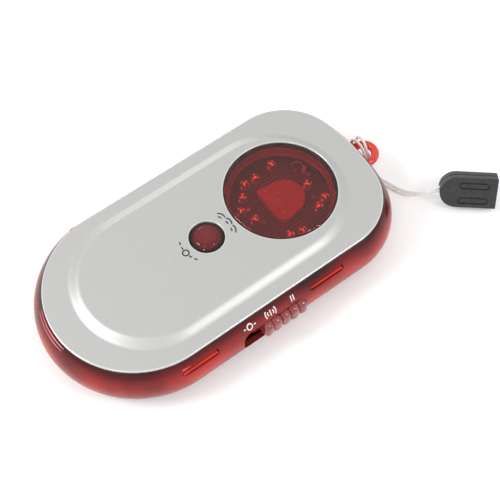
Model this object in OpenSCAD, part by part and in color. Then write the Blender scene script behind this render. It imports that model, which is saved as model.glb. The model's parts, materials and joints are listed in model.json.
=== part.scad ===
// Circuit breaker finder: a palm-sized receiver that is swept over a breaker panel.
// Rounded red case, pressed metal face, round window, one button, one slide selector,
// two AAA cells behind a sliding door and a wrist cord on a lanyard eye.
// +X runs to the head end (window, lanyard eye), -Y is the selector side, +Z is the face.

/* [Case] */
// Half width of the face plate.
plate_half = 30.1; // [26:0.1:34]
// Length of the face plate.
plate_len = 118.6; // [100:0.2:140]
// Height of the rim of the face plate above the table.
case_h = 20; // [18:0.5:24]
// How far the red side stands out past the plate.
side_bulge = 3.85; // [2:0.05:5]
// Wall thickness of the moulded shells.
wall = 1.8; // [1.2:0.1:2.5]
// Height of the line where the two shells meet.
part_z = 3.8; // [3:0.1:6]

/* [Face] */
// Thickness of the face plate.
plate_t = 1; // [0.8:0.1:2]
// Half width of the raised field at its foot.
field_half = 25.4; // [22:0.1:27]
// Height of the raised field above the rim.
field_rise = 1.7; // [1:0.1:3]
// Radius of the window opening.
window_r = 19; // [15:0.5:22]
// Window centre along the case.
window_x = 28.25; // [24:0.25:32]
// Radius of the button opening.
button_hole_r = 5.9; // [4:0.1:8]
// Button centre along the case.
button_x = -1.84; // [-6:0.02:4]

/* [Controls] */
// Travel of the selector between its end positions.
selector_travel = 7; // [5:0.5:9]
// Length of the slot in the side wall.
slot_len = 25; // [20:0.5:30]
// Height of the slot in the side wall.
slot_h = 8; // [6:0.5:9]

/* [Cells] */
// Diameter of an AAA cell.
cell_d = 10.5; // [10.3:0.1:10.5]
// Length of an AAA cell with its nub.
cell_len = 44.5; // [44.5:0.1:44.5]
// Gap left all round the sliding door.
door_gap = 0.15; // [0.1:0.05:0.4]

/* [Lanyard] */
// Thickness of one strand of the cord.
cord_d = 1; // [0.8:0.1:1.5]
// Outer radius of the lanyard eye.
eye_r = 5.3; // [4:0.1:7]

/* [Hidden] */
$fn = 64;

// plan of the plate: a half circle at the tail, two wide corners at the head
tail_x = -plate_len / 2 + plate_half;
head_r = 21;
// where the middle of the lanyard eye stands
eye_x = 65.3;
head_y = plate_half - head_r;
head_x = plate_len / 2 - head_r;

deck_top = case_h - plate_t;
deck_t = 1.6;
deck_bot = deck_top - deck_t;
field_top = case_h + field_rise;
board_top = 12.5;
board_t = 1.6;
board_bot = board_top - board_t;

// section of the red side: a lower arc that rolls into the flat bottom, an upper arc to the plate
mid_z = case_h / 2;
rise = deck_top - mid_z;
low_r = mid_z;
low_in = low_r - side_bulge;
up_in = (rise * rise - side_bulge * side_bulge) / (2 * side_bulge);
up_r = up_in + side_bulge;

// battery compartment
cell_y = 5.6;
cell_z = 7.65;
bay_half = 12.2;
// where cuts that run out through the tail wall end
past_tail = -80;
bay_tail = -55.2;
bay_head = -7.4;
bay_roof = 13.4;
bay_wall = 1.3;
// the tabs of the head-end contacts stick out of the bay roof, where the leads join them
tab_y = 8.6;
lead_z = 15.4;
door_end = bay_head + 1.2;

board_posts = [[1, 20], [1, -20], [42, 20], [42, -20]];
case_posts = [[-20, 19.5], [-20, -19.5], [50, 9], [50, -9]];

// ---------- shared shapes ----------

// one arc of the side section in small straight steps
function side_arc(cx, r, a0, a1, steps) = [for (k = [0:steps])
    let (a = a0 + (a1 - a0) * k / steps) [cx + r * cos(a), mid_z + r * sin(a)]];

// half section in (radius, height) of the case around an arc of plate radius base
module side_section(base, inset, top, from_r) {
    r = up_r - inset;
    polygon(concat([[from_r, inset]],
        side_arc(base - low_in, low_r - inset, -90, 0, 9),
        side_arc(base - up_in, r, 8, asin((top - mid_z) / r), 5),
        [[from_r, top]]));
}

// the same section as a wall, kept between two heights
module wall_section(base, z0, z1) difference() {
    side_section(base, 0, deck_top, base - 14);
    side_section(base, wall, deck_top + 1, base - 16);
    translate([base - 30, -50]) square([60, 50 + z0]);
    translate([base - 30, z1]) square([60, 50]);
}

// sweeps the wall section once round the plan of the case
module wall_ring(z0, z1) {
    translate([tail_x, 0, 0]) rotate([0, 0, 90]) rotate_extrude(angle = 180)
        wall_section(plate_half, z0, z1);
    for (s = [0, 1]) mirror([0, s, 0])
        translate([tail_x, 0, 0]) rotate([90, 0, 90]) linear_extrude(head_x - tail_x)
            wall_section(plate_half, z0, z1);
    for (s = [0, 1]) mirror([0, s, 0])
        translate([head_x, head_y, 0]) rotate_extrude(angle = 90) wall_section(head_r, z0, z1);
    translate([head_x, head_y, 0]) rotate([90, 0, 0]) linear_extrude(2 * head_y)
        wall_section(head_r, z0, z1);
}

// plan of the face plate, drawn in by d
module plate_plan(d = 0) {
    translate([tail_x, 0]) circle(plate_half - d, $fn = 128);
    translate([tail_x, -plate_half + d]) square([head_x - tail_x, 2 * (plate_half - d)]);
    for (s = [-1, 1]) translate([head_x, s * head_y]) circle(head_r - d, $fn = 128);
    translate([head_x - 5, -head_y]) square([5 + head_r - d, 2 * head_y]);
}

// plan of a rounded rectangle as plain points, 6 steps to a corner
function soft_rect(w, h, r) = [for (c = [0:3], k = [0:6])
    let (a = c * 90 + k * 15, sx = (c == 0 || c == 3) ? 1 : -1, sy = c < 2 ? 1 : -1)
    [sx * (w / 2 - r) + r * cos(a), sy * (h / 2 - r) + r * sin(a)]];

// a flat plate standing in the XZ plane, from y0 to y1
module side_slab(w, h, r, x, z, y0, y1)
    translate([x, y1, z]) rotate([90, 0, 0]) linear_extrude(y1 - y0) polygon(soft_rect(w, h, r));

module box(x0, x1, y0, y1, z0, z1) translate([x0, y0, z0]) cube([x1 - x0, y1 - y0, z1 - z0]);

// raised field of the face: half cones at the ends and a straight ridge between
module field(z0, shrink = 0) {
    foot = field_half - shrink;
    top = foot - 2.4;
    span = [-24.6, 24.9];
    slope = [[0, z0], [foot, z0], [foot - 0.7, z0 + 0.25], [top + 0.5, z0 + field_rise - 0.2],
        [top - 0.6, z0 + field_rise], [0, z0 + field_rise]];
    translate([span[0], 0, 0]) rotate([0, 0, 90]) rotate_extrude(angle = 180) polygon(slope);
    translate([span[1], 0, 0]) rotate([0, 0, -90]) rotate_extrude(angle = 180) polygon(slope);
    for (s = [0, 1]) mirror([0, s, 0])
        translate([span[0], 0, 0]) rotate([90, 0, 90]) linear_extrude(span[1] - span[0]) polygon(slope);
}

// ---------- case ----------

module upper_shell() color([0.62, 0.07, 0.09, 0.6]) difference() {
    union() {
        wall_ring(part_z, deck_top);
        translate([0, 0, deck_bot]) linear_extrude(deck_t) plate_plan(-0.3);
        for (p = board_posts) translate([p[0], p[1], board_top])
            cylinder(r = 2.5, h = deck_bot - board_top + 0.5);
        for (p = case_posts) translate([p[0], p[1], 8]) cylinder(r = 3, h = deck_bot - 7.5);
    }
    for (p = board_posts) translate([p[0], p[1], board_top - 1]) cylinder(r = 1.15, h = 4.6);
    for (p = case_posts) translate([p[0], p[1], 7]) cylinder(r = 1.3, h = 8.6);
    // openings in the deck
    translate([window_x, 0, deck_bot - 1]) cylinder(r = window_r + 0.1, h = 5);
    translate([button_x, 0, deck_bot - 1]) cylinder(r = 7.6, h = 5);
    // selector slot
    side_slab(slot_len, slot_h, 3.2, 0.25, mid_z + 0.5, -40, -28);
    // a pair of thin grip grooves at four places on the sides
    for (s = [-1, 1], gx = [-27.9, 21.9], g = [[32.77, 15.3], [31.99, 16.7]])
        translate([gx, s * g[0], g[1]]) rotate([0, 90, 0]) cylinder(r = 0.6, h = 13.5, center = true);
    // seat for the lanyard eye
    box(57, 70, -5.4, 5.4, mid_z - 1.45, mid_z + 1.45);
}

module lower_shell() color([0.62, 0.07, 0.09, 0.6]) difference() {
    union() {
        wall_ring(-1, part_z);
        linear_extrude(wall) plate_plan(9);
        for (p = case_posts) translate([p[0], p[1], 1]) cylinder(r = 3.6, h = 7);
        // battery bay: side walls, end walls and roof, trimmed to the round tail
        intersection() {
            difference() {
                box(bay_tail - bay_wall, bay_head + bay_wall, -bay_half - bay_wall, bay_half + bay_wall,
                    1, bay_roof + bay_wall);
                box(bay_tail, bay_head, -bay_half, bay_half, 0, bay_roof);
                box(past_tail, bay_tail + 1, -bay_half, bay_half, 0, part_z + 0.8);
            }
            bay_limit();
        }
    }
    for (p = case_posts) {
        translate([p[0], p[1], -1]) cylinder(r = 2.9, h = 5);
        translate([p[0], p[1], -1]) cylinder(r = 1.4, h = 10);
    }
    // doorway, open to the tail, with a groove along each side
    box(past_tail, door_end, -bay_half, bay_half, -1, wall + 0.4);
    box(past_tail, bay_tail + 2.6, -bay_half, bay_half, -1, part_z + 1);
    for (s = [-1, 1]) box(past_tail, door_end, s * bay_half - 1.1, s * bay_half + 1.1, 0.7, 1.6);
    // slits in the bay roof for the tabs of the contacts
    for (s = [-1, 1]) translate([bay_head - 0.2, s * tab_y, bay_roof])
        box(-0.35, 0.35, -1.35, 1.35, -0.5, bay_wall + 1);
}

// room for the battery bay inside the tail of the upper shell
module bay_limit() {
    translate([tail_x, 0, 0]) rotate([0, 0, 90]) rotate_extrude(angle = 180)
        side_section(plate_half, wall + 0.3, deck_bot, 0);
    box(tail_x, 0, -20, 20, 1, deck_bot);
}

module battery_door() color([0.6, 0.06, 0.08, 0.6]) {
    g = door_gap;
    difference() {
        intersection() {
            union() {
                wall_ring(-1, part_z - g);
                linear_extrude(wall) plate_plan(9);
            }
            box(past_tail, door_end - g, -bay_half + g, bay_half - g, -1, part_z);
        }
        // finger ridges near the head end of the door
        for (i = [0:4]) translate([-14 - i * 2.2, 0, -0.25]) rotate([90, 0, 0])
            cylinder(r = 0.55, h = 14, center = true);
    }
    // tongues that run in the grooves of the case
    for (s = [-1, 1])
        box(-50, door_end - g, s * (bay_half - 0.1) - 0.8, s * (bay_half - 0.1) + 0.8, 0.85, 1.45);
}

module face_plate() color([0.8, 0.8, 0.79]) difference() {
    union() {
        translate([0, 0, deck_top]) linear_extrude(plate_t) plate_plan();
        field(case_h);
    }
    field(deck_top, 0.6);
    translate([window_x, 0, deck_top - 1]) cylinder(r = window_r, h = 6);
    translate([button_x, 0, deck_top - 1]) cylinder(r = button_hole_r, h = 6);
}

module window_lens() color([0.55, 0.05, 0.08, 0.5]) translate([window_x, 0, 0]) difference() {
    union() {
        translate([0, 0, deck_bot - 1.2]) cylinder(r = window_r + 1.2, h = 1.2);
        translate([0, 0, deck_bot - 0.5]) cylinder(r = window_r - 0.25, h = field_top - deck_bot + 0.2);
    }
    translate([0, 0, deck_bot - 2]) cylinder(r = window_r - 2, h = field_top - deck_bot + 0.3);
}

module lanyard_eye() color([0.85, 0.12, 0.05]) {
    r = 1.4;
    translate([eye_x, 0, mid_z]) rotate_extrude() translate([eye_r - r, 0]) circle(r);
    // neck and cross bar that lock behind the end wall
    difference() {
        union() {
            box(58.6, 62.2, -1.5, 1.5, mid_z - 1.35, mid_z + 1.35);
            box(58.6, 60.8, -3.2, 3.2, mid_z - 2.4, mid_z + 2.4);
        }
        translate([eye_x, 0, 5]) cylinder(r = eye_r - r, h = 10);
    }
}

// ---------- electronics ----------

module circuit_board() color([0.05, 0.25, 0.12]) difference() {
    translate([0, 0, board_bot]) linear_extrude(board_top - board_bot) intersection() {
        translate([14, 0]) circle(38, $fn = 128);
        translate([-5.6, -27]) square([51.6, 54]);
    }
    for (p = board_posts) translate([p[0], p[1], board_bot - 1]) cylinder(r = 1.4, h = 4);
}

// places of the lamps round the window centre
lamps = [[6.6, 13.4], [-1.1, 12.3], [-5.6, 12.5], [-9.3, 8.6], [-12.9, 4.6], [-11.1, -0.7],
    [-5.4, -12.3], [-1.1, -13.5], [9, -9.5], [13, -7.8], [11.3, -0.2]];
// radius of a lamp and height of its straight part
lamp_r = 1.5;
lamp_body = 1.8;

module indicator_leds() color([0.9, 0.15, 0.12, 0.8]) for (p = lamps)
    translate([window_x + p[0], p[1], board_top]) {
        cylinder(r = lamp_r, h = lamp_body);
        translate([0, 0, lamp_body]) sphere(r = lamp_r, $fn = 32);
    }

module led_legs() color([0.7, 0.7, 0.7]) for (p = lamps, s = [-1, 1])
    translate([window_x + p[0] + s * 0.9, p[1], board_bot - 0.5]) cylinder(r = 0.3, h = 0.5, $fn = 16);

// rounds that shape the outline of the sounder, from the window centre: x, y, radius;
// the first is the sounder itself, the others are its corners, anticlockwise
sounder_rounds = [[1.9, -0.1, 6.9], [-3.4, 6.4, 1.1], [-1.9, -4.4, 3.1]];
sounder_h = 2.8;
disc_z = 2.2;

// the two points where the outer side line from round a to round b leaves and lands
function side_line(a, b) = let (run = [b[0] - a[0], b[1] - a[1]],
    lean = atan2(run[1], run[0]) - acos((a[2] - b[2]) / norm(run)), out = [cos(lean), sin(lean)])
    [[a[0], a[1]] + 0.98 * a[2] * out, [b[0], b[1]] + 0.98 * b[2] * out];

module at_sounder(z) translate([window_x + sounder_rounds[0][0], sounder_rounds[0][1], board_top + z])
    children();

module sounder() color([0.75, 0.2, 0.12]) difference() {
    translate([window_x, 0, board_top]) {
        for (c = sounder_rounds) translate([c[0], c[1], 0]) cylinder(r = c[2], h = sounder_h);
        linear_extrude(sounder_h) polygon([for (i = [0:2], p = side_line(sounder_rounds[i],
            sounder_rounds[(i + 1) % 3])) p]);
    }
    at_sounder(disc_z) cylinder(r = 5.6, h = 2);
}

module sounder_disc() color([0.85, 0.6, 0.25]) at_sounder(disc_z) cylinder(r = 5.5, h = 0.5);

module processor_chip() color([0.1, 0.1, 0.1]) translate([5.2, 9.5, board_top + 0.5])
    box(-3.2, 3.2, -4.8, 4.8, 0, 3);

module chip_legs() color([0.75, 0.75, 0.75]) for (s = [-1, 1], i = [-1.5:1:1.5])
    translate([5.2 + s * 3.6 - 0.4, 9.5 + i * 2.5 - 0.25, board_top]) cube([0.8, 0.5, 2.2]);

module resistors() color([0.8, 0.68, 0.5]) {
    for (p = [[5, -5], [5, -8], [5, -11], [5, -14]]) translate([p[0], p[1], board_top + 1])
        rotate([0, 90, 0]) cylinder(r = 1, h = 6, center = true, $fn = 24);
    for (p = [[20, -22.5], [26, 22], [33, 22]]) translate([p[0], p[1], board_bot - 1.1])
        rotate([90, 0, 0]) cylinder(r = 1, h = 6, center = true, $fn = 24);
}

module capacitors() color([0.12, 0.14, 0.3]) {
    for (p = [[10.5, 22], [16, 24]]) translate([p[0], p[1], board_bot - 7]) cylinder(r = 2.5, h = 7);
}

// upright disc beside the lamps
module disc_capacitor() color([0.8, 0.5, 0.25]) translate([window_x + 14.2, 4.8, board_top + 1.6])
    rotate([90, 0, 30]) cylinder(r = 1.6, h = 1.3, center = true);

module transistors() color([0.1, 0.1, 0.1]) for (p = [[9, 12], [9, 4], [9, -14]])
    translate([p[0], p[1], board_bot - 5.2]) intersection() {
        cylinder(r = 2.4, h = 4.2);
        box(-3, 3, -2.4, 1.2, 0, 5);
    }

module transistor_legs() color([0.75, 0.75, 0.75]) for (p = [[9, 12], [9, 4], [9, -14]], i = [-1:1])
    translate([p[0] + i * 1.27, p[1], board_bot - 1]) cylinder(r = 0.25, h = 1, $fn = 16);

// pickup coil below the window: a ferrite rod across the case, two end flanges and the winding
coil_x = 39;
coil_z = 6.6;
rod_r = 2.4;
flange_y = 11.5;
flange_t = 1.4;

module coil_rod(r, len) translate([coil_x, 0, coil_z]) rotate([90, 0, 0])
    cylinder(r = r, h = len, center = true);

module pickup_core() color([0.2, 0.2, 0.22]) coil_rod(rod_r, 32);

module pickup_bobbin() color([0.85, 0.84, 0.78]) difference() {
    for (s = [-1, 1]) translate([coil_x, s * flange_y, 0])
        box(-4.1, 4.1, -flange_t / 2, flange_t / 2, 2.5, board_bot);
    coil_rod(rod_r + 0.05, 40);
}

module pickup_winding() color([0.75, 0.38, 0.15]) difference() {
    coil_rod(3.7, 2 * flange_y - flange_t - 0.2);
    coil_rod(rod_r + 0.05, 40);
}

module scan_switch_body() color([0.12, 0.12, 0.12]) translate([button_x, 0, board_top]) difference() {
    box(-3, 3, -3, 3, 0, 3.5);
    translate([0, 0, 0.7]) cylinder(r = 1.85, h = 4);
}

module selector_switch_body() color([0.7, 0.7, 0.7]) difference() {
    box(-10.5, 11, -29.4, -23, 6.9, board_bot);
    box(-5.2, 6.4, -31, -24.4, 7.7, 10.3);
}

// ---------- battery bay ----------

module cell_body(nub_dir) rotate([0, 90 * nub_dir, 0]) {
    translate([0, 0, -cell_len / 2]) cylinder(d = cell_d, h = cell_len - 1);
    translate([0, 0, cell_len / 2 - 1]) cylinder(d = 3.8, h = 1);
}

module aaa_cells() color([0.25, 0.45, 0.3]) {
    translate([bay_head - 0.4 - cell_len / 2, cell_y, cell_z]) cell_body(1);
    translate([bay_tail + 0.4 + cell_len / 2, -cell_y, cell_z]) cell_body(-1);
}

module cell_springs() color([0.8, 0.8, 0.78]) {
    for (k = [0, 1]) {
        x0 = k == 0 ? bay_tail + 0.4 : bay_head - 0.4;
        dir = k == 0 ? 1 : -1;
        translate([x0, dir * cell_y, cell_z]) rotate([0, 90 * dir, 0])
            for (i = [0:2]) translate([0, 0, 0.42 + i * 0.83])
                rotate_extrude() translate([3.4 - i * 0.5, 0]) circle(0.42, $fn = 24);
    }
}

module cell_contacts() color([0.8, 0.8, 0.78]) {
    box(bay_tail, bay_tail + 0.4, -10.6, 10.6, 5, 12.4);
    for (s = [-1, 1]) {
        box(bay_head - 0.4, bay_head, s * cell_y - 4.4, s * cell_y + 4.4, 3, 12.4);
        box(bay_head - 0.4, bay_head, s * tab_y - 1.2, s * tab_y + 1.2, 12.4, lead_z + 0.7);
    }
}

module battery_leads() for (s = [-1, 1]) color(s > 0 ? [0.75, 0.1, 0.1] : [0.08, 0.08, 0.08]) {
    run = 4.2;
    translate([bay_head, s * tab_y, lead_z]) rotate([0, 90, 0]) cylinder(r = 0.6, h = run, $fn = 24);
    translate([bay_head + run, s * tab_y, lead_z]) sphere(r = 0.6, $fn = 24);
    translate([bay_head + run, s * tab_y, board_top]) cylinder(r = 0.6, h = lead_z - board_top, $fn = 24);
}

// ---------- fasteners ----------

module screw(head_r, head_h, shank_r, len) difference() {
    union() {
        cylinder(r = head_r, h = head_h);
        cylinder(r = shank_r, h = head_h + len);
    }
    for (a = [0, 90]) rotate([0, 0, a]) translate([-head_r * 0.6, -0.35, -1]) cube([head_r * 1.2, 0.7, 1.8]);
}

module board_screws() color([0.6, 0.6, 0.62]) for (p = board_posts)
    translate([p[0], p[1], board_bot - 1.5]) screw(2.2, 1.5, 1.1, 5);

module case_screws() color([0.6, 0.6, 0.62]) for (p = case_posts)
    translate([p[0], p[1], 2.2]) screw(2.6, 1.8, 1.25, 11);

// ---------- moving controls ----------

module scan_button() color([0.42, 0.05, 0.08]) translate([button_x, 0, 0]) {
    intersection() {
        translate([0, 0, 19]) cylinder(r = button_hole_r - 0.3, h = 6);
        translate([0, 0, 3]) sphere(r = 19.9, $fn = 128);
    }
    translate([0, 0, 19.3]) cylinder(r = 7.1, h = 1.3);
    translate([0, 0, 17]) cylinder(r = 2.4, h = 2.5);
}

module scan_plunger() color([0.1, 0.1, 0.1]) translate([button_x, 0, board_top + 1.7])
    cylinder(r = 1.75, h = 2.8);

module selector_knob() color([0.8, 0.25, 0.3, 0.7]) {
    side_slab(17.2, slot_h - 0.6, 2.9, 4.05, mid_z + 0.5, -34.6, -29.9);
    for (i = [0:5]) translate([4.05 + (i - 2.5) * 2.7, -34.5, mid_z + 0.5 - 3.5]) cylinder(r = 1.1, h = 7);
    box(-6.4, 14.4, -30.5, -29.8, 6.1, 14.9);
}

module selector_lever() color([0.12, 0.12, 0.12]) box(2.5, 5.5, -29.8, -25, 8, 10);

// ---------- wrist cord ----------

function unit(v) = v / norm(v);
function tangent(p, i) = unit(p[min(i + 1, len(p) - 1)] - p[max(i - 1, 0)]);
function normals(p, i = 0, n = [0, 0, 1]) = i >= len(p) ? []
    : let (t = tangent(p, i), m = unit(n - (n * t) * t)) concat([m], normals(p, i + 1, m));

module tube(p, r, sides = 8) {
    ns = normals(p);
    n = len(p);
    pts = [for (i = [0:n - 1], k = [0:sides - 1])
        let (t = tangent(p, i), u = ns[i], v = cross(t, u), a = k * 360 / sides)
        p[i] + r * (cos(a) * u + sin(a) * v)];
    faces = concat([[for (k = [0:sides - 1]) k]],
        [for (i = [0:n - 2], k = [0:sides - 1]) let (a = i * sides + k, b = i * sides + (k + 1) % sides)
            [a, a + sides, b + sides, b]],
        [[for (k = [sides - 1:-1:0]) (n - 1) * sides + k]]);
    polyhedron(points = pts, faces = faces, convexity = 6);
}

// fitting on the cord end: it rests on a long edge, leaning back
fit_at = [78.3, -25.3, 0];
fit_turn = -40.6;
fit_lean = 60;
fit_len = 19.6;
fit_w = 11.3;
fit_t = 5.7;

// directions of the fitting: along its length, across its face
fit_along = [cos(fit_turn), sin(fit_turn), 0];
fit_across = [-sin(fit_turn) * cos(fit_lean), cos(fit_turn) * cos(fit_lean), sin(fit_lean)];
fit_out = cross(fit_along, fit_across);

// a point given in the fitting's own directions
function in_fitting(x, y, z) = fit_at + x * fit_along + y * fit_across + z * fit_out;

// centre line of the doubled cord from inside the fitting to below the lanyard eye
cord_run = [in_fitting(5.6, fit_w / 2, fit_t / 2), in_fitting(2.8, fit_w / 2, fit_t / 2),
    in_fitting(0, fit_w / 2, fit_t / 2), [77.2, -24.4, 5.4], [76, -23.4, 4.1], [74.7, -22, 2.7],
    [73.3, -20.4, 1.7], [71.9, -18.7, 1.1], [70.6, -16.8, 0.9], [69.5, -14.6, 0.8], [68.7, -12.2, 0.8],
    [68, -9.8, 0.9], [67, -7.8, 1.4], [66.3, -6.2, 2.5], [66.1, -4.7, 4.1], [66.2, -3, 5.8],
    [66.3, -1.2, 7.6]];

// the hitch over the eye: half spread, y and height of each point, up through the hole,
// over the far side, back underneath and round the two strands
hitch_x = 66.2;
hitch = [[0.6, 0.2, 9.8], [0.75, 1.4, 11.6], [0.95, 2.9, 12.75], [1.1, 4.6, 12.8], [1.15, 6, 11.6],
    [1.15, 6.5, 10], [1.1, 5.8, 8.6], [1.1, 4.3, 7.8], [1.3, 2.6, 7.4], [1.6, 0.9, 7.2], [1.6, -1, 7],
    [1.1, -2.7, 6.9]];

// sideways direction of the pair: turns from the fitting's width to level
function pair_side(i) = let (t = tangent(cord_run, i), level = unit([-t[1], t[0], 0]),
    k = min(1, max(0, (i - 2) / 5))) unit(k * level + (1 - k) * fit_across);
function strand(s) = [for (i = [0:len(cord_run) - 1]) cord_run[i] + s * 0.54 * pair_side(i)];
function backwards(p) = [for (i = [len(p) - 1:-1:0]) p[i]];
// +1 strand lies on the -X side at the eye
function loop_half(s) = [for (h = hitch) [hitch_x + s * h[0], h[1], h[2]]];

module lanyard_cord() color([0.88, 0.87, 0.84])
    tube(concat(strand(-1), loop_half(1), [[hitch_x, -3.6, 6.9]], backwards(loop_half(-1)),
        backwards(strand(1))), cord_d / 2);

// ---------- cord fitting: two moulded halves round a metal clip ----------

module fitting_place() translate(fit_at) rotate([0, 0, fit_turn]) rotate([fit_lean, 0, 0]) children();

module fitting_plan() {
    translate([fit_w / 2, fit_w / 2]) circle(r = fit_w / 2, $fn = 96);
    translate([fit_w / 2, 0]) square([fit_len - fit_w / 2, fit_w]);
}

module fitting_hollow() {
    box(-1, 4, fit_w / 2 - 1.2, fit_w / 2 + 1.2, fit_t / 2 - 0.62, fit_t / 2 + 0.62);
    box(2.6, 9, fit_w / 2 - 1.9, fit_w / 2 + 1.9, fit_t / 2 - 1.2, fit_t / 2 + 1.2);
}

module cord_end_front() color([0.16, 0.16, 0.18]) fitting_place() difference() {
    translate([0, 0, fit_t / 2]) linear_extrude(fit_t / 2) fitting_plan();
    fitting_hollow();
    for (y = [3.1, 7.8]) translate([6.6, y - 0.9, fit_t - 0.5]) cube([10, 1.8, 1]);
}

module cord_end_back() color([0.2, 0.2, 0.22]) fitting_place() difference() {
    linear_extrude(fit_t / 2) fitting_plan();
    fitting_hollow();
}

module cord_clip() color([0.7, 0.7, 0.7]) fitting_place() difference() {
    box(3.2, 6.4, fit_w / 2 - 1.7, fit_w / 2 + 1.7, fit_t / 2 - 1.15, fit_t / 2 + 1.15);
    box(3, 6, fit_w / 2 - 1.15, fit_w / 2 + 1.15, fit_t / 2 - 0.55, fit_t / 2 + 0.55);
}

upper_shell();
lower_shell();
battery_door();
face_plate();
window_lens();
lanyard_eye();
circuit_board();
indicator_leds();
led_legs();
sounder();
sounder_disc();
processor_chip();
chip_legs();
resistors();
capacitors();
disc_capacitor();
transistors();
transistor_legs();
pickup_core();
pickup_bobbin();
pickup_winding();
scan_switch_body();
selector_switch_body();
aaa_cells();
cell_springs();
cell_contacts();
battery_leads();
board_screws();
case_screws();
scan_button();
scan_plunger();
selector_knob();
selector_lever();
lanyard_cord();
cord_end_front();
cord_end_back();
cord_clip();
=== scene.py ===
"""Looks of the circuit breaker finder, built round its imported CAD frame.

Lengths are written in millimetres in the part's own frame and turned into metres by MM.
+X runs to the head end (window, lanyard eye), -Y is the selector side, +Z is out of the face.
"""

import json
import math

import bmesh
import bpy
from mathutils import Matrix, Vector


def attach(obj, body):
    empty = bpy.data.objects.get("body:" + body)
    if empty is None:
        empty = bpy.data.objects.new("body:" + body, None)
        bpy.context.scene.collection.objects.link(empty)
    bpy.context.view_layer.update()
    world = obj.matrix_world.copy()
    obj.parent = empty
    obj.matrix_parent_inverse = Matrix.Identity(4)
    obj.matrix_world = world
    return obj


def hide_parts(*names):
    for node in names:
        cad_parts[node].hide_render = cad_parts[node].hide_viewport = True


MM = 0.001
QUARTER = math.pi / 2
FULL = 2 * math.pi
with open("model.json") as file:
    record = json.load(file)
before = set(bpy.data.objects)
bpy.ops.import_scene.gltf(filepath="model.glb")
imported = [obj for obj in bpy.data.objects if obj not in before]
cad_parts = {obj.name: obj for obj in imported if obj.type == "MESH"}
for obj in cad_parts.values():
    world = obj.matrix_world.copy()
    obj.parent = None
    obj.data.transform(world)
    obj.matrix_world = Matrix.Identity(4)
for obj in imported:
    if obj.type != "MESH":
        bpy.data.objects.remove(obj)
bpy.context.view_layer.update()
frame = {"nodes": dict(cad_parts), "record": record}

# ---------------------------------------------------------------- sizes of the case, in mm
# the plate's half width and its length
PLATE_HALF = 30.1
PLATE_LEN = 118.6
# heights: the plate's rim, the deck under it, the raised field, the joint line, the board
CASE_H = 20.0
PLATE_T = 1.0
DECK_TOP = CASE_H - PLATE_T
DECK_BOT = DECK_TOP - 1.6
FACE_TOP = 21.7
PART_Z = 3.8
SEAM_HALF = 0.12
BOARD_TOP = 12.5
WALL = 1.8
# the side stands out furthest, by BULGE, at MID_Z; one arc below it and one above
MID_Z = 10.0
BULGE = 3.85
LOW_R = 10.0
LOW_IN = LOW_R - BULGE
RISE = DECK_TOP - MID_Z
UP_IN = (RISE * RISE - BULGE * BULGE) / (2 * BULGE)
UP_R = UP_IN + BULGE

# plan: half circle at the tail, two wide corners and a shallow arc at the head
TAIL_X = PLATE_HALF - PLATE_LEN / 2
CORNER_R = 21.0
END_R = 70.0
CORNER_Y = PLATE_HALF - CORNER_R
END_X = PLATE_LEN / 2 - END_R
CORNER_X = END_X + math.sqrt((END_R - CORNER_R) ** 2 - CORNER_Y**2)
END_A = math.atan2(CORNER_Y, CORNER_X - END_X)

WINDOW = (28.25, 0.0)
WINDOW_R = 19.0
BUTTON = (-1.84, 0.0)
BUTTON_R = 5.9
# the height from which the button's colour rings, darker outward as painted shade, are measured
DOME_MID = 22.2
# the selector's slot: middle along X, width, middle height, height
SLOT = (0.25, 25.0, 10.5, 8.0)
OPENINGS = ((WINDOW, WINDOW_R), (BUTTON, BUTTON_R))
LIP_T = 0.3
RIM_STEPS = 160
GRIP_X = (-27.9, 21.9)
CASE_POSTS = [(-20, 19.5), (-20, -19.5), (50, 9), (50, -9)]
# the doorway's half width and its inner end; cuts out through the tail start at PAST_TAIL
DOOR_HALF = 12.2
DOOR_END = -6.2
PAST_TAIL = -80
# the radius of a turned profile's points on its axis
ON_AXIS = 0.0001


# ---------------------------------------------------------------- camera
def make_camera():
    """Camera of the photograph, aimed at a spot on the face."""
    azimuth = math.radians(-37.22)
    elevation = math.radians(59.9)
    target = Vector((6.87, -11.52, CASE_H)) * MM
    distance = 0.3838
    back = Vector((
        math.sin(azimuth) * math.cos(elevation),
        -math.cos(azimuth) * math.cos(elevation),
        math.sin(elevation),
    ))
    cam = bpy.data.objects.new("camera", bpy.data.cameras.new("camera"))
    cam.location = target + back * distance
    cam.rotation_euler = (-back).to_track_quat("-Z", "Y").to_euler()
    cam.data.lens = 86.0
    cam.data.sensor_width = 36.0
    cam.data.clip_start = 0.01
    bpy.context.collection.objects.link(cam)
    bpy.context.scene.camera = cam


make_camera()


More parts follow.
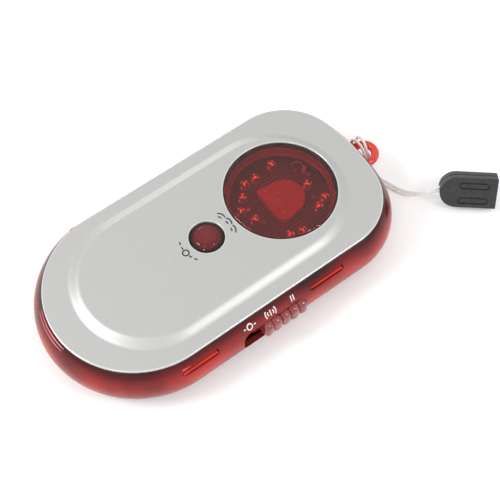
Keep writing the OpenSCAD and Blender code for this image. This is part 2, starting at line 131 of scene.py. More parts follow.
# ---------------------------------------------------------------- materials
class Shader:
    """A Principled material with its common procedural parts."""

    def __init__(self, name, color, roughness=0.4, **sockets):
        self.mat = bpy.data.materials.new(name)
        self.mat.use_nodes = True
        self.nodes = self.mat.node_tree.nodes
        self.links = self.mat.node_tree.links
        self.bsdf = self.nodes["Principled BSDF"]
        self.bsdf.inputs["Base Color"].default_value = (*color, 1)
        self.bsdf.inputs["Roughness"].default_value = roughness
        for key, value in sockets.items():
            self.bsdf.inputs[key.replace("_", " ")].default_value = value

    def coords(self, scale=(1, 1, 1)):
        """Places in the part's frame, scaled."""
        place = self.nodes.new("ShaderNodeTexCoord")
        mapping = self.nodes.new("ShaderNodeMapping")
        mapping.inputs["Scale"].default_value = scale
        self.links.new(place.outputs["Object"], mapping.inputs["Vector"])
        return mapping.outputs["Vector"]

    def noise(self, scale, detail=3.0, stretch=(1, 1, 1)):
        """Noise, its scale per metre."""
        tex = self.nodes.new("ShaderNodeTexNoise")
        tex.inputs["Scale"].default_value = scale
        tex.inputs["Detail"].default_value = detail
        self.links.new(self.coords(stretch), tex.inputs["Vector"])
        return tex.outputs["Fac"]

    def ramp(self, source, stops):
        """A colour that follows source through the stops."""
        ramp = self.nodes.new("ShaderNodeValToRGB")
        points = ramp.color_ramp.elements
        while len(points) < len(stops):
            points.new(0.5)
        for point, (at, color) in zip(points, stops):
            point.position = at
            point.color = (*color, 1)
        self.links.new(source, ramp.inputs["Fac"])
        return ramp.outputs["Color"]

    def vary_color(self, scale, low, high, stretch=(1, 1, 1), detail=3.0):
        """Base colour that drifts between low and high."""
        color = self.ramp(self.noise(scale, detail, stretch), [(0.35, low), (0.65, high)])
        self.links.new(color, self.bsdf.inputs["Base Color"])
        return self

    def vary_rough(self, scale, low, high, stretch=(1, 1, 1)):
        """Roughness that drifts between low and high."""
        span = self.nodes.new("ShaderNodeMapRange")
        span.inputs["To Min"].default_value = low
        span.inputs["To Max"].default_value = high
        self.links.new(self.noise(scale, 4.0, stretch), span.inputs["Value"])
        self.links.new(span.outputs["Result"], self.bsdf.inputs["Roughness"])
        return self

    def bump(self, scale, strength, distance=0.00005, stretch=(1, 1, 1)):
        """Fine relief, its depth in metres."""
        bump = self.nodes.new("ShaderNodeBump")
        bump.inputs["Strength"].default_value = strength
        bump.inputs["Distance"].default_value = distance
        self.links.new(self.noise(scale, 4.0, stretch), bump.inputs["Height"])
        self.links.new(bump.outputs["Normal"], self.bsdf.inputs["Normal"])
        return self

    def height_color(self, stops, cloud, cloud_scale):
        """Colour by height in the case, stops in mm, with a soft cloudiness."""
        place = self.nodes.new("ShaderNodeTexCoord")
        split = self.nodes.new("ShaderNodeSeparateXYZ")
        self.links.new(place.outputs["Object"], split.inputs[0])
        span = self.nodes.new("ShaderNodeMapRange")
        span.inputs["From Min"].default_value = 0
        span.inputs["From Max"].default_value = CASE_H * MM
        self.links.new(split.outputs["Z"], span.inputs["Value"])
        wobble = self.nodes.new("ShaderNodeMath")
        wobble.operation = "MULTIPLY_ADD"
        wobble.inputs[1].default_value = cloud
        self.links.new(self.noise(cloud_scale, 3.0, (0.5, 0.5, 1)), wobble.inputs[0])
        self.links.new(span.outputs["Result"], wobble.inputs[2])
        color = self.ramp(wobble.outputs[0], [(z / CASE_H + cloud / 2, c) for z, c in stops])
        shade = self.ramp(self.noise(55, 3.0, (1, 1, 1.6)), [(0.36, (0.5, 0.5, 0.5)), (0.62, (1, 1, 1))])
        mix = self.nodes.new("ShaderNodeMix")
        mix.data_type = "RGBA"
        mix.blend_type = "MULTIPLY"
        mix.inputs["Factor"].default_value = 1.0
        self.links.new(color, mix.inputs["A"])
        self.links.new(shade, mix.inputs["B"])
        self.links.new(mix.outputs["Result"], self.bsdf.inputs["Base Color"])
        return self


def red_shell_material():
    """Clear red plastic; painted shade darkens it under the plate and toward the floor, and painted light
    brightens it at mid height.
    """
    m = Shader("red_shell", (0.4, 0.03, 0.03), 0.2, IOR=1.49, Transmission_Weight=0.22,
               Specular_IOR_Level=0.3)
    # height stops in mm: painted shade near black under the plate and darker toward the floor, painted light
    # brightest at mid height
    m.height_color([
        (0, (0.26, 0.024, 0.022)),
        (6, (0.44, 0.04, 0.034)),
        (10.5, (0.58, 0.046, 0.034)),
        (13.5, (0.5, 0.016, 0.014)),
        (16.5, (0.24, 0.007, 0.009)),
        (18.7, (0.07, 0.004, 0.005)),
    ], cloud=0.15, cloud_scale=70)
    m.vary_rough(120, 0.16, 0.3)
    m.bump(260, 0.08)
    return m.mat


def plate_material():
    """Matt silver metal with a very fine grain."""
    m = Shader("plate", (0.56, 0.56, 0.54), 0.46, Metallic=0.75)
    m.vary_color(2600, (0.55, 0.55, 0.54), (0.58, 0.58, 0.57))
    m.bump(3000, 0.05, 0.00003)
    return m.mat


def window_material():
    """Clear red pane."""
    m = Shader("window", (0.82, 0.15, 0.14), 0.02, IOR=1.49, Transmission_Weight=1.0,
               Specular_IOR_Level=0.28)
    m.vary_rough(60, 0.01, 0.05)
    return m.mat


def board_material():
    """Dark board with faint copper tracks."""
    m = Shader("board", (0.12, 0.07, 0.05), 0.5)
    wave = m.nodes.new("ShaderNodeTexWave")
    wave.bands_direction = "Y"
    wave.inputs["Scale"].default_value = 250
    wave.inputs["Distortion"].default_value = 4.0
    wave.inputs["Detail"].default_value = 1.0
    wave.inputs["Detail Scale"].default_value = 0.3
    m.links.new(m.coords(), wave.inputs["Vector"])
    patches = m.nodes.new("ShaderNodeMath")
    patches.operation = "MULTIPLY"
    m.links.new(wave.outputs["Fac"], patches.inputs[0])
    m.links.new(m.noise(70, 2.0), patches.inputs[1])
    color = m.ramp(patches.outputs[0], [
        (0.1, (0.12, 0.08, 0.06)), (0.35, (0.16, 0.10, 0.075)), (0.6, (0.27, 0.18, 0.13)),
    ])
    m.links.new(color, m.bsdf.inputs["Base Color"])
    m.bump(500, 0.2)
    return m.mat


def button_material():
    """Red and speckled under the dome, with painted shade darkening it to near black at the rim."""
    m = Shader("button", (0.1, 0.01, 0.01), 0.04, Specular_IOR_Level=0.45)
    place = m.nodes.new("ShaderNodeTexCoord")
    centred = m.nodes.new("ShaderNodeVectorMath")
    centred.operation = "DISTANCE"
    centred.inputs[1].default_value = (BUTTON[0] * MM, BUTTON[1] * MM, DOME_MID * MM)
    m.links.new(place.outputs["Object"], centred.inputs[0])
    span = m.nodes.new("ShaderNodeMapRange")
    span.inputs["From Max"].default_value = BUTTON_R * MM
    m.links.new(centred.outputs["Value"], span.inputs["Value"])
    grain = m.nodes.new("ShaderNodeMath")
    grain.operation = "MULTIPLY_ADD"
    grain.inputs[1].default_value = 0.3
    m.links.new(m.noise(1500, 2.0), grain.inputs[0])
    m.links.new(span.outputs["Result"], grain.inputs[2])
    # by distance from the dome's middle: the darkening toward the rim is painted shade round the button's
    # edge
    color = m.ramp(grain.outputs[0], [
        (0.2, (0.15, 0.017, 0.021)), (0.62, (0.13, 0.011, 0.013)), (0.88, (0.1, 0.006, 0.007)),
        (1.0, (0.02, 0.001, 0.001)),
    ])
    m.links.new(color, m.bsdf.inputs["Base Color"])
    m.bump(400, 0.03)
    return m.mat


def cord_material():
    """Off-white braid."""
    m = Shader("cord", (0.7, 0.69, 0.66), 0.75, Sheen_Weight=0.3)
    m.vary_color(1400, (0.74, 0.73, 0.70), (0.86, 0.85, 0.82))
    m.bump(2600, 0.35, 0.00006)
    return m.mat


def plain(name, low, high, scale=300, rough=(0.3, 0.45), bump=0.1, **sockets):
    """A material that varies between two colours and two roughnesses."""
    m = Shader(name, low, rough[0], **sockets)
    m.vary_color(scale, low, high)
    m.vary_rough(scale * 0.6, *rough)
    m.bump(scale * 3, bump)
    return m.mat


MATERIALS = {
    "red_shell": red_shell_material(),
    "plate": plate_material(),
    "window": window_material(),
    "board": board_material(),
    "eye": plain("eye", (0.8, 0.05, 0.04), (0.92, 0.08, 0.055), 150, (0.06, 0.14), 0.04,
                 Transmission_Weight=0.3),
    "lamps": plain("lamps", (1.0, 0.4, 0.42), (1.0, 0.62, 0.6), 1400, (0.03, 0.08), 0.02,
                   Transmission_Weight=0.6, Coat_Weight=1.0),
    # lamp_cup glows though the lamps are off: its emission paints glints on the cup rims, dies and posts
    "lamp_cup": plain("lamp_cup", (1.0, 0.62, 0.4), (1.0, 0.8, 0.6), 900, (0.1, 0.25), 0.4, Metallic=0.4,
                      Emission_Color=(1.0, 0.5, 0.3, 1), Emission_Strength=1.7),
    "skirt": plain("skirt", (0.42, 0.03, 0.03), (0.55, 0.045, 0.045), 200, (0.15, 0.3), 0.1,
                   Transmission_Weight=0.2, Specular_IOR_Level=0.3),
    # bright_edge is a lighter, glossier copy of the plate's metal: a painted highlight on the plate's edges
    "bright_edge": plain("bright_edge", (0.66, 0.66, 0.65), (0.74, 0.74, 0.73), 900, (0.2, 0.3), 0.1,
                         Metallic=0.5),
    "tin": plain("tin", (0.55, 0.55, 0.55), (0.7, 0.7, 0.7), 400, (0.2, 0.35), 0.1, Metallic=1.0),
    "sounder": plain("sounder", (0.62, 0.13, 0.07), (0.7, 0.16, 0.09), 180, (0.4, 0.5), 0.1),
    "brass": plain("brass", (0.6, 0.38, 0.14), (0.7, 0.48, 0.2), 300, (0.25, 0.4), 0.1, Metallic=1.0),
    "black_plastic": plain("black_plastic", (0.015, 0.015, 0.016), (0.03, 0.03, 0.03)),
    "ceramic_tan": plain("ceramic_tan", (0.5, 0.36, 0.2), (0.6, 0.46, 0.28)),
    "blue_sleeve": plain("blue_sleeve", (0.02, 0.03, 0.12), (0.03, 0.05, 0.18)),
    "ferrite": plain("ferrite", (0.03, 0.03, 0.035), (0.06, 0.06, 0.065), 500),
    "ivory": plain("ivory", (0.6, 0.57, 0.47), (0.7, 0.67, 0.56)),
    "copper": plain("copper", (0.5, 0.17, 0.05), (0.62, 0.25, 0.09), 900, (0.25, 0.4), 0.3, Metallic=0.9),
    "steel": plain("steel", (0.45, 0.45, 0.46), (0.6, 0.6, 0.6), 500, (0.22, 0.38), 0.15, Metallic=1.0),
    "cell_wrap": plain("cell_wrap", (0.05, 0.17, 0.09), (0.07, 0.23, 0.12), 120),
    "wire": plain("wire", (0.35, 0.03, 0.03), (0.45, 0.05, 0.04)),
    "button": button_material(),
    "rim_dark": plain("rim_dark", (0.05, 0.004, 0.005), (0.08, 0.008, 0.01), 300, (0.1, 0.2), 0.05),
    "knob": plain("knob", (0.34, 0.03, 0.035), (0.5, 0.09, 0.095), 260, (0.04, 0.1), 0.02,
                  Transmission_Weight=0.45, Coat_Weight=0.6, Coat_Roughness=0.1),
    "fitting": plain("fitting", (0.016, 0.016, 0.018), (0.026, 0.026, 0.029), 700, (0.36, 0.5), 0.3),
    # a lighter copy of the red plastic: a painted glint in the grip pockets
    "glint_red": plain("glint_red", (0.55, 0.035, 0.022), (0.68, 0.06, 0.035), 150, (0.15, 0.3), 0.05),
    # a lighter pink copy of the red plastic: a painted highlight along the shell below the plate's edge
    "tail_line": plain("tail_line", (0.55, 0.07, 0.1), (0.7, 0.14, 0.18), 300, (0.15, 0.3), 0.05),
    "seam": plain("seam", (0.012, 0.008, 0.009), (0.02, 0.012, 0.012), 300, (0.4, 0.6), 0.1),
    "solder": plain("solder", (0.75, 0.42, 0.3), (0.9, 0.6, 0.45), 900, (0.2, 0.35), 0.4),
    "print_dark": plain("print_dark", (0.006, 0.006, 0.006), (0.014, 0.014, 0.014), 900, (0.5, 0.7), 0.1),
    "print_light": plain("print_light", (0.75, 0.72, 0.72), (0.85, 0.82, 0.82), 900, (0.4, 0.6), 0.1),
    "cord": cord_material(),
}

for row in frame["record"]["subparts"]:
    node = frame["nodes"][row["node"]]
    node.data.materials.clear()
    node.data.materials.append(MATERIALS[row["material_slot"]])


# ---------------------------------------------------------------- mesh helpers
def finish_piece(obj, material, body="housing", replaces=(), sharp=35):
    """Gives a mesh its material, smooth shading up to that angle and its body, and hides the CAD nodes it
    replaces.
    """
    obj.data.materials.clear()
    obj.data.materials.append(MATERIALS[material])
    for face in obj.data.polygons:
        face.use_smooth = True
    obj.data.set_sharp_from_angle(angle=math.radians(sharp))
    even = obj.modifiers.new("even", "WEIGHTED_NORMAL")
    even.keep_sharp = True
    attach(obj, body)
    if replaces:
        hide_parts(*replaces)
    return obj


def mesh_object(name, points, faces):
    """A mesh from points in mm and tuples of their indices, with its normals turned outward."""
    mesh = bpy.data.meshes.new(name)
    mesh.from_pydata([[c * MM for c in p] for p in points], [], faces)
    bm = bmesh.new()
    bm.from_mesh(mesh)
    bmesh.ops.remove_doubles(bm, verts=bm.verts, dist=1e-7)
    bmesh.ops.recalc_face_normals(bm, faces=bm.faces)
    bm.to_mesh(mesh)
    bm.free()
    obj = bpy.data.objects.new(name, mesh)
    bpy.context.collection.objects.link(obj)
    return obj


def combine(name, parts):
    """Several mesh objects as one piece."""
    bm = bmesh.new()
    for part in parts:
        part.data.transform(part.matrix_world)
        bm.from_mesh(part.data)
    mesh = bpy.data.meshes.new(name)
    bm.to_mesh(mesh)
    bm.free()
    for part in parts:
        bpy.data.objects.remove(part)
    obj = bpy.data.objects.new(name, mesh)
    bpy.context.collection.objects.link(obj)
    return obj


def freeze(obj):
    """Applies the modifiers."""
    graph = bpy.context.evaluated_depsgraph_get()
    mesh = bpy.data.meshes.new_from_object(obj.evaluated_get(graph))
    obj.modifiers.clear()
    obj.data = mesh
    return obj


def cut(obj, tool, operation="DIFFERENCE"):
    """Cuts the tool out of obj, or joins or intersects them."""
    mod = obj.modifiers.new("cut", "BOOLEAN")
    mod.object = tool
    mod.operation = operation
    mod.solver = "EXACT"
    freeze(obj)
    bpy.data.objects.remove(tool)
    return obj


def bevel(obj, width, segments, angle=40):
    """Rounds the edges sharper than that angle."""
    mod = obj.modifiers.new("bevel", "BEVEL")
    mod.width = width * MM
    mod.segments = segments
    mod.limit_method = "ANGLE"
    mod.angle_limit = math.radians(angle)
    return freeze(obj)


def loft(name, rings, wrap_section=False, cap_ends=False):
    """Skins equal-length closed rings of 3-D points."""
    n = len(rings[0])
    points = [p for ring in rings for p in ring]
    faces = []
    count = len(rings)
    for k in range(count if wrap_section else count - 1):
        a = k * n
        b = ((k + 1) % count) * n
        for i in range(n):
            j = (i + 1) % n
            faces.append((a + i, a + j, b + j, b + i))
    if cap_ends:
        faces.append(tuple(range(n)))
        faces.append(tuple((count - 1) * n + i for i in range(n)))
    return mesh_object(name, points, faces)


def arc(cx, cy, r, a0, a1, steps, last=False):
    """Points of an arc, its end point only if last is set."""
    stop = steps + 1 if last else steps
    return [(cx + r * math.cos(a0 + (a1 - a0) * k / steps),
             cy + r * math.sin(a0 + (a1 - a0) * k / steps)) for k in range(stop)]


def outline(d):
    """Plan of the case as a closed ring, d mm outside the plate's edge."""
    half = PLATE_HALF + d
    upper = arc(END_X, 0, END_R + d, 0, END_A, 6)
    upper += arc(CORNER_X, CORNER_Y, CORNER_R + d, END_A, QUARTER, 22)
    upper += [(CORNER_X + (TAIL_X - CORNER_X) * k / 16, half) for k in range(16)]
    upper += arc(TAIL_X, 0, half, QUARTER, 2 * QUARTER, 32, last=True)
    return upper + [(x, -y) for x, y in reversed(upper[1:-1])]


def field_outline(d):
    """Plan of the raised field's foot, with as many points as outline()."""
    half = 25.4 + d
    x0, x1 = -24.6, 24.9
    upper = arc(x1, 0, half, 0, QUARTER, 28)
    upper += [(x1 + (x0 - x1) * k / 16, half) for k in range(16)]
    upper += arc(x0, 0, half, QUARTER, 2 * QUARTER, 32, last=True)
    return upper + [(x, -y) for x, y in reversed(upper[1:-1])]


def at_height(ring, z):
    return [(x, y, z) for x, y in ring]


def side_offset(z):
    """How far the red side stands outside the plate's edge at height z."""
    if z >= MID_Z:
        return -UP_IN + math.sqrt(max(0.0, UP_R**2 - (z - MID_Z) ** 2))
    return -LOW_IN + math.sqrt(max(0.0, LOW_R**2 - (MID_Z - z) ** 2))


def side_profile(z0, z1, inset, steps):
    """(offset, z) points along the red side from z0 to z1, evenly spread by angle."""
    def angle(z):
        r = (UP_R if z >= MID_Z else LOW_R) - inset
        return math.asin(max(-1.0, min(1.0, (z - MID_Z) / r)))

    a0, a1 = angle(z0), angle(z1)
    out = []
    for k in range(steps + 1):
        a = a0 + (a1 - a0) * k / steps
        r = (UP_R if a >= 0 else LOW_R) - inset
        inner = UP_IN if a >= 0 else LOW_IN
        out.append((-inner + r * math.cos(a), MID_Z + r * math.sin(a)))
    return out


def lathe(name, profile, centre, steps):
    """Turns a closed (radius, z) profile about a vertical axis."""
    rings = []
    for r, z in profile:
        rings.append([(centre[0] + r * math.cos(FULL * k / steps),
                       centre[1] + r * math.sin(FULL * k / steps), z) for k in range(steps)])
    return loft(name, rings, wrap_section=True)


def fillet(r0, z0, r1, z1, steps):
    """Quarter round of a profile, level at (r0, z0) and upright at (r1, z1)."""
    angles = [QUARTER * k / steps for k in range(steps + 1)]
    return [(r0 + (r1 - r0) * math.sin(a), z1 + (z0 - z1) * math.cos(a)) for a in angles]


def prism(name, plan, z0, z1):
    """A plan in (x, y) raised from z0 to z1."""
    n = len(plan)
    points = [(x, y, z0) for x, y in plan] + [(x, y, z1) for x, y in plan]
    faces = [tuple(range(n)), tuple(range(n, 2 * n))]
    faces += [(i, (i + 1) % n, n + (i + 1) % n, n + i) for i in range(n)]
    return mesh_object(name, points, faces)


def box_object(name, x0, x1, y0, y1, z0, z1):
    return prism(name, [(x0, y0), (x1, y0), (x1, y1), (x0, y1)], z0, z1)


def soft_rect(cx, cy, w, h, r, steps=8):
    """Plan of a rectangle with round corners."""
    pts = []
    for c, (sx, sy) in enumerate([(1, 1), (-1, 1), (-1, -1), (1, -1)]):
        pts += arc(cx + sx * (w / 2 - r), cy + sy * (h / 2 - r), r, c * QUARTER, (c + 1) * QUARTER,
                   steps, last=True)
    return pts


def stand_up(obj, y):
    """Turns a prism drawn in (x, z) plan so that its thickness runs along Y from y."""
    obj.matrix_world = Matrix.Translation((0, y * MM, 0)) @ Matrix.Rotation(QUARTER, 4, "X")
    obj.data.transform(obj.matrix_world)
    obj.matrix_world = Matrix.Identity(4)
    return obj


def mirror_side(obj):
    """Moves a part from the selector side to the far side."""
    obj.data.transform(Matrix.Scale(-1, 4, (0, 1, 0)))
    obj.data.flip_normals()
    return obj


def tube(name, points, radius, kind, roundness, material):
    """A round tube with closed ends along points in mm."""
    curve = bpy.data.curves.new(name, "CURVE")
    curve.dimensions = "3D"
    curve.bevel_depth = radius * MM
    curve.bevel_resolution = roundness
    curve.use_fill_caps = True
    spline = curve.splines.new(kind)
    spline.points.add(len(points) - 1)
    for spot, (x, y, z) in zip(spline.points, points):
        spot.co = (x * MM, y * MM, z * MM, 1)
    curve.materials.append(MATERIALS[material])
    obj = bpy.data.objects.new(name, curve)
    bpy.context.collection.objects.link(obj)
    return obj


# ---------------------------------------------------------------- wrist cord (first, as its room is checked)
FIT_AT = Vector((78.3, -25.3, 0))
FIT_TURN = math.radians(-40.6)
FIT_LEAN = math.radians(60)
FIT_LEN, FIT_W, FIT_T = 19.6, 11.3, 5.7
FIT_FRAME = (
    Matrix.Translation(FIT_AT * MM) @ Matrix.Rotation(FIT_TURN, 4, "Z") @ Matrix.Rotation(FIT_LEAN, 4, "X")
)


def in_fitting(x, y, z):
    """A spot in the leaned fitting's own millimetres, in the part's frame."""
    return tuple(FIT_AT + (FIT_FRAME.to_3x3() @ Vector((x, y, z))))


CORD_D = 1.0
# the middle line from the fitting down to the floor and up to the hitch
CORD_RUN = [
    in_fitting(5.6, FIT_W / 2, FIT_T / 2), in_fitting(2.8, FIT_W / 2, FIT_T / 2),
    in_fitting(0, FIT_W / 2, FIT_T / 2), (77.2, -24.4, 5.4), (76, -23.4, 4.1), (74.7, -22, 2.7),
    (73.3, -20.4, 1.7), (71.9, -18.7, 1.1), (70.6, -16.8, 0.9), (69.5, -14.6, 0.8), (68.7, -12.2, 0.8),
    (68, -9.8, 0.9), (67, -7.8, 1.4), (66.3, -6.2, 2.5), (66.1, -4.7, 4.1), (66.2, -3, 5.8),
    (66.3, -1.2, 7.6),
]
STRAND_APART = 0.54
HITCH_MID = (66.2, -3.6, 6.9)
# one side of the hitch: how far it stands aside of HITCH_MID, then y and z
HITCH = [
    (0.6, 0.2, 9.8), (0.75, 1.4, 11.6), (0.95, 2.9, 12.75), (1.1, 4.6, 12.8), (1.15, 6, 11.6),
    (1.15, 6.5, 10), (1.1, 5.8, 8.6), (1.1, 4.3, 7.8), (1.3, 2.6, 7.4), (1.6, 0.9, 7.2), (1.6, -1, 7),
    (1.1, -2.7, 6.9),
]


def strand_points(side):
    """One strand from the middle of the hitch, over the eye and down the run to the fitting."""
    across = FIT_FRAME.to_3x3() @ Vector((0, 1, 0))
    pts = [HITCH_MID]
    pts += [(HITCH_MID[0] + side * dx, y, z) for dx, y, z in reversed(HITCH)]
    # the strands lie side by side across the fitting at its hole, and level after a few more points
    in_hole, blend = 2, 5
    run = []
    for i, p in enumerate(CORD_RUN):
        ahead = Vector(CORD_RUN[min(i + 1, len(CORD_RUN) - 1)])
        behind = Vector(CORD_RUN[max(i - 1, 0)])
        t = ahead - behind
        level = Vector((-t.y, t.x, 0)).normalized()
        share = min(1.0, max(0.0, (i - in_hole) / blend))
        aside = (level * share + across * (1 - share)).normalized()
        run.append(tuple(Vector(p) - side * STRAND_APART * aside))
    return pts + list(reversed(run))


def make_strand(name, side):
    """One strand of the cord, with its length along the listed points."""
    pts = strand_points(side)
    obj = tube(name, pts, CORD_D / 2, "NURBS", 4, "cord")
    obj.data.resolution_u = 6
    obj.data.splines[0].order_u = 3
    obj.data.splines[0].use_endpoint_u = True
    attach(obj, "housing")
    length = sum((Vector(b) - Vector(a)).length for a, b in zip(pts, pts[1:]))
    return obj, length


strand_a, length_a = make_strand("lanyard_strand_a", 1)
strand_b, length_b = make_strand("lanyard_strand_b", -1)
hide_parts("lanyard_cord")


def fitting_half(name, z0, z1, node):
    """Half of the cord end, round at the cord's side; the front half has two ringed recesses."""
    hole_half_w, hole_half_t = 1.2, 0.62
    recess_x = 11.6
    plan = arc(FIT_W / 2, FIT_W / 2, FIT_W / 2, QUARTER, 3 * QUARTER, 28, last=True)
    plan += [(FIT_LEN, 0), (FIT_LEN, FIT_W)]
    obj = prism(name, plan, z0, z1)
    bevel(obj, 0.35, 3, 60)
    hollow = box_object("hollow", -1, 4, FIT_W / 2 - hole_half_w, FIT_W / 2 + hole_half_w,
                        FIT_T / 2 - hole_half_t, FIT_T / 2 + hole_half_t)
    cut(obj, hollow)
    if z1 == FIT_T:
        islands = []
        for y in (2.8, 8.4):
            tool = prism("tool", soft_rect(recess_x, y, 10.6, 2.7, 1.3), FIT_T - 0.45, FIT_T + 1)
            cut(obj, tool)
            island = prism("island", soft_rect(recess_x, y, 9.4, 1.5, 0.74), FIT_T - 0.6, FIT_T - 0.1)
            bevel(island, 0.12, 2)
            islands.append(island)
        obj = combine(name, [obj, *islands])
    obj.data.transform(FIT_FRAME)
    return finish_piece(obj, "fitting", replaces=[node], sharp=32)


FIT_GAP = 0.1
front_half = fitting_half("cord_fitting_front", FIT_T / 2 + FIT_GAP, FIT_T, "cord_end_front")
back_half = fitting_half("cord_fitting_back", 0, FIT_T / 2 - FIT_GAP, "cord_end_back")


# ---------------------------------------------------------------- case
def side_tool(x, w, z, h, r, depth):
    """A rounded block that reaches depth mm into the -Y side wall at height z."""
    outside = 3.0
    face = PLATE_HALF + side_offset(z)
    obj = prism("tool", soft_rect(x, z, w, h, r), 0, depth + outside)
    return stand_up(obj, -(face - depth))


def upper_shell():
    """Red upper case with the selector's slot, the eye's slot and the grip pockets."""
    outer = side_profile(DECK_TOP, PART_Z + SEAM_HALF, 0, 30)
    inner = side_profile(PART_Z + SEAM_HALF, DECK_BOT, WALL, 18)
    section = outer + inner + [(-9.0, DECK_BOT), (-9.0, DECK_TOP - 0.02), (-0.6, DECK_TOP - 0.02)]
    shell = loft("upper_case", [at_height(outline(d), z) for d, z in section], wrap_section=True)
    x, w, z, h = SLOT
    cut(shell, side_tool(x, w, z, h, 3.2, 5.0))
    eye_slot = box_object("tool", 57, 70, -5.35, 5.35, MID_Z - 1.45, MID_Z + 1.45)
    cut(shell, eye_slot)
    for gx in GRIP_X:
        cut(shell, side_tool(gx, 13.7, 15.9, 2.9, 1.0, 0.5))
        cut(shell, mirror_side(side_tool(gx, 13.7, 15.9, 2.9, 1.0, 0.5)))
    return finish_piece(shell, "red_shell", replaces=["upper_shell"], sharp=30)


def grip_glint_strips():
    """Strips in the four grip pockets, whose bright red is a painted glint."""
    parts = []
    bar_len, bar_t = 13.1, 1.0
    for gx in GRIP_X:
        for side in (-1, 1):
            for z, h in ((16.4, 1.15), (15.1, 0.5)):
                face = PLATE_HALF + side_offset(z) - 0.3
                bar = prism("bar", soft_rect(gx, z, bar_len, h, h * 0.48), 0, bar_t)
                stand_up(bar, -(face - bar_t))
                bevel(bar, h * 0.25, 2)
                if side > 0:
                    mirror_side(bar)
                parts.append(bar)
    return finish_piece(combine("grip_glint_strips", parts), "glint_red")


def make_tail_lines():
    """The double line below the plate's edge round the tail, thinned out at its ends; its bright pink is a
    painted highlight.
    """
    start, sweep = 156, 33
    sunk, reach = 0.12, 0.3
    steps, sides = 24, 8
    parts = []
    for z, width in ((18.2, 0.36), (17.3, 0.25)):
        r = PLATE_HALF + side_offset(z)
        rings = []
        for k in range(steps + 1):
            a = math.radians(start + sweep * k / steps)
            taper = math.sin(math.pi * k / steps) ** 0.5
            half = max(0.02, width * taper)
            ring = []
            for j in range(sides):
                b = FULL * j / sides
                rr = r - sunk + reach * max(0.1, taper) * math.cos(b)
                ring.append((TAIL_X + rr * math.cos(a), rr * math.sin(a), z + half * math.sin(b)))
            rings.append(ring)
        parts.append(loft("line", rings, cap_ends=True))
    return finish_piece(combine("tail_lines", parts), "tail_line")


def lower_pan(name):
    """The whole lower pan, before it is split into case and door."""
    outer = side_profile(PART_Z - SEAM_HALF, 0, 0, 14)
    inner = side_profile(WALL, PART_Z - SEAM_HALF, WALL, 8)
    section = [(-20.0, WALL)] + inner + outer + [(-20.0, 0.0)]
    return loft(name, [at_height(outline(d), z) for d, z in section], cap_ends=True)


def lower_shell():
    """Lower pan with its screw posts and the doorway."""
    pan = lower_pan("lower_case")
    for px, py in CASE_POSTS:
        cut(pan, prism("post", arc(px, py, 3.6, 0, FULL, 40), 1.0, 8.0), "UNION")
    for px, py in CASE_POSTS:
        cut(pan, prism("bore", arc(px, py, 2.9, 0, FULL, 40), -1, 4.0))
        cut(pan, prism("hole", arc(px, py, 1.4, 0, FULL, 32), -1, 9.0))
    cut(pan, box_object("doorway", PAST_TAIL, DOOR_END, -DOOR_HALF, DOOR_HALF, -1, 6))
    return finish_piece(pan, "red_shell", replaces=["lower_shell"], sharp=30)


def battery_door():
    """Door with five thumb grooves and a shallow round recess beside them."""
    door = lower_pan("door")
    gap = 0.15
    keep = box_object("keep", PAST_TAIL, DOOR_END - gap, gap - DOOR_HALF, DOOR_HALF - gap, -1, 6)
    cut(door, keep, "INTERSECT")
    first, pitch = -14, 2.2
    for i in range(5):
        groove = prism("groove", arc(0, -0.25, 0.55, 0, FULL, 24), -7, 7)
        stand_up(groove, 0)
        groove.data.transform(Matrix.Translation(((first - i * pitch) * MM, 0, 0)))
        cut(door, groove)
    cut(door, prism("thumb", arc(-30, 0, 4.2, 0, FULL, 48), -1, 0.35))
    return finish_piece(door, "red_shell", body="door", replaces=["battery_door"],
                        sharp=30)


def battery_bay():
    """Walls and roof of the cell bay, which belong to the lower case."""
    def plan(half, x0, x1, chamfer):
        return [(x0 + chamfer, -half), (x1, -half), (x1, half), (x0 + chamfer, half),
                (x0, half - chamfer), (x0, -half + chamfer)]

    outer = prism("cell_bay", plan(13.5, -56.5, -6.1, 2.2), 1.9, 14.7)
    inner = prism("inner", plan(DOOR_HALF, -55.2, -7.4, 1.6), 1.0, 13.4)
    cut(outer, inner)
    return finish_piece(outer, "red_shell")


def seam():
    """Dark joint line between the two shells."""
    z0, z1 = PART_Z - SEAM_HALF, PART_Z + SEAM_HALF
    sunk, deep = 0.25, 0.8
    d = side_offset(PART_Z) - sunk
    section = [(d, z0), (d, z1), (d - deep, z1), (d - deep, z0)]
    ring = loft("case_seam", [at_height(outline(o), z) for o, z in section], wrap_section=True)
    cut(ring, box_object("gap", PAST_TAIL, -50, -12.1, 12.1, 0, 8))
    return finish_piece(ring, "seam")


def face_plate():
    """Pressed plate: flat rim, a soft S-shaped rise, a flat field and two openings."""
    rings = [at_height(outline(-3.0), DECK_TOP), at_height(outline(0), DECK_TOP)]
    edge_r, edge_steps = 0.35, 4
    for k in range(edge_steps + 1):
        a = QUARTER * k / edge_steps
        offset = -edge_r + edge_r * math.cos(a)
        rings.append(at_height(outline(offset), CASE_H - edge_r + edge_r * math.sin(a)))
    ramp_foot, ramp_width, steps = 0.6, 4.2, 14
    rise = FACE_TOP - CASE_H
    for k in range(steps + 1):
        t = k / steps
        s = t * t * (3 - 2 * t)
        rings.append(at_height(field_outline(ramp_foot - ramp_width * t), CASE_H + rise * s))
    rings.append(at_height(field_outline(-8.0), FACE_TOP))
    plate = loft("face", rings, cap_ends=True)
    over, under = FACE_TOP + 1, DECK_TOP - 1
    for at, r in OPENINGS:
        wide = r + LIP_T
        hole = [(ON_AXIS, over), (wide, over), (wide, under), (ON_AXIS, under)]
        cut(plate, lathe("hole", hole, at, RIM_STEPS))
    return finish_piece(plate, "plate", replaces=["face_plate"], sharp=28)


